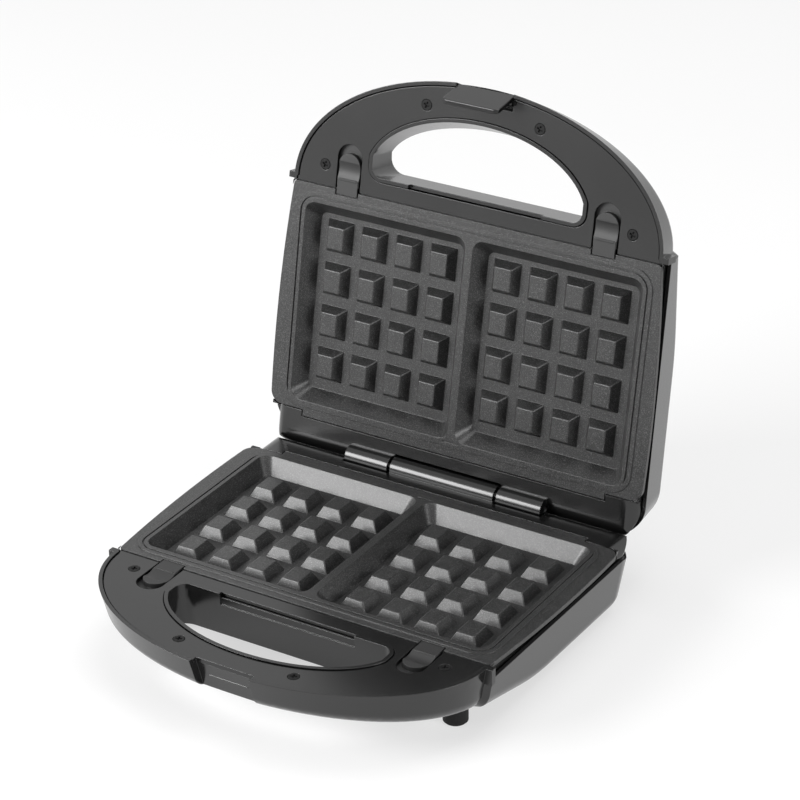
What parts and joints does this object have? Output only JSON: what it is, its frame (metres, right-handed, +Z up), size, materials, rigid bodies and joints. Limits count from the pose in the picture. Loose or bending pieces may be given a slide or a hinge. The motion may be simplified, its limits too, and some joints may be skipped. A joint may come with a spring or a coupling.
{
  "type": "waffle maker",
  "caption": "Electric waffle maker with hinged lid, removable peg-grid plates, handle openings and a latch clip, standing open.",
  "frame": {"origin": "middle of the underside of the feet, centred under the open appliance", "axes": "+X to the right seen from the handle side, +Y to the hinge and the open lid, +Z up"},
  "size_m": [0.2414, 0.287, 0.2667],
  "materials": {
    "shell_plastic": "dark grey glossy moulded shell",
    "frame_plastic": "black glossy heat-resistant plastic",
    "plate_coating": "dark grey speckled non-stick coating on cast aluminium",
    "tab_plastic": "black glossy plastic",
    "latch_plastic": "black satin plastic",
    "screw_steel": "black oxide steel",
    "spring_steel": "spring steel",
    "foot_rubber": "black rubber",
    "heater_sheath": "tubular element sheath",
    "heater_clip_steel": "plain steel clips",
    "reflector_aluminium": "bright aluminised tray",
    "thermostat_body": "brown phenolic",
    "terminal_ceramic": "white insulating block",
    "lamp_board": "green circuit board and lamp bodies",
    "wire_insulation": "glass-sleeved wire",
    "power_lens_red": "translucent red lens",
    "ready_lens_green": "translucent green lens"
  },
  "bodies": {
    "base": {"base_shell": "shell_plastic", "base_frame": "frame_plastic", "base_plate": "plate_coating", "base_cover_screws": "screw_steel", "base_feet": "foot_rubber", "hinge_pin": "screw_steel", "base_heater": "heater_sheath", "base_heater_clips": "heater_clip_steel", "base_reflector": "reflector_aluminium", "base_thermostat": "thermostat_body", "thermal_fuse": "thermostat_body", "terminal_block": "terminal_ceramic", "cord_gland": "foot_rubber", "base_wiring": "wire_insulation", "base_spring_left": "spring_steel", "base_spring_right": "spring_steel"},
    "lid": {"lid_shell": "shell_plastic", "lid_frame": "frame_plastic", "lid_plate": "plate_coating", "lid_cover_screws": "screw_steel", "lid_heater": "heater_sheath", "lid_heater_clips": "heater_clip_steel", "lid_reflector": "reflector_aluminium", "lid_thermostat": "thermostat_body", "lid_wiring": "wire_insulation", "latch_pin": "screw_steel", "power_lens": "power_lens_red", "ready_lens": "ready_lens_green", "lamp_holder": "lamp_board", "lid_spring_left": "spring_steel", "lid_spring_right": "spring_steel"},
    "latch": {"latch_clip": "latch_plastic"},
    "base_left_slider": {"base_tab_left": "tab_plastic"},
    "base_right_slider": {"base_tab_right": "tab_plastic"},
    "lid_left_slider": {"lid_tab_left": "tab_plastic"},
    "lid_right_slider": {"lid_tab_right": "tab_plastic"}
  },
  "joints": [
    {"name": "lid_hinge", "type": "hinge", "parent": "base", "child": "lid", "pos_m": [0, 0.08151, 0.046], "axis": [1, 0, 0], "range_deg": [0, 101.1]},
    {"name": "latch_swing", "type": "hinge", "parent": "lid", "child": "latch", "pos_m": [0, 0.12606, 0.26166], "axis": [-1, 0, 0], "range_deg": [0, 30]},
    {"name": "base_left_release", "type": "slide", "parent": "base", "child": "base_left_slider", "axis": [0, -1, 0], "range_m": [0, 0.0045], "stiffness_N_per_m": 300, "springref_m": -0.002, "deforming": ["base_spring_left"]},
    {"name": "base_right_release", "type": "slide", "parent": "base", "child": "base_right_slider", "axis": [0, -1, 0], "range_m": [0, 0.0045], "stiffness_N_per_m": 300, "springref_m": -0.002, "deforming": ["base_spring_right"]},
    {"name": "lid_left_release", "type": "slide", "parent": "lid", "child": "lid_left_slider", "axis": [0, 0.1925, 0.9813], "range_m": [0, 0.0045], "stiffness_N_per_m": 300, "springref_m": -0.002, "deforming": ["lid_spring_left"]},
    {"name": "lid_right_release", "type": "slide", "parent": "lid", "child": "lid_right_slider", "axis": [0, 0.1925, 0.9813], "range_m": [0, 0.0045], "stiffness_N_per_m": 300, "springref_m": -0.002, "deforming": ["lid_spring_right"]}
  ]
}
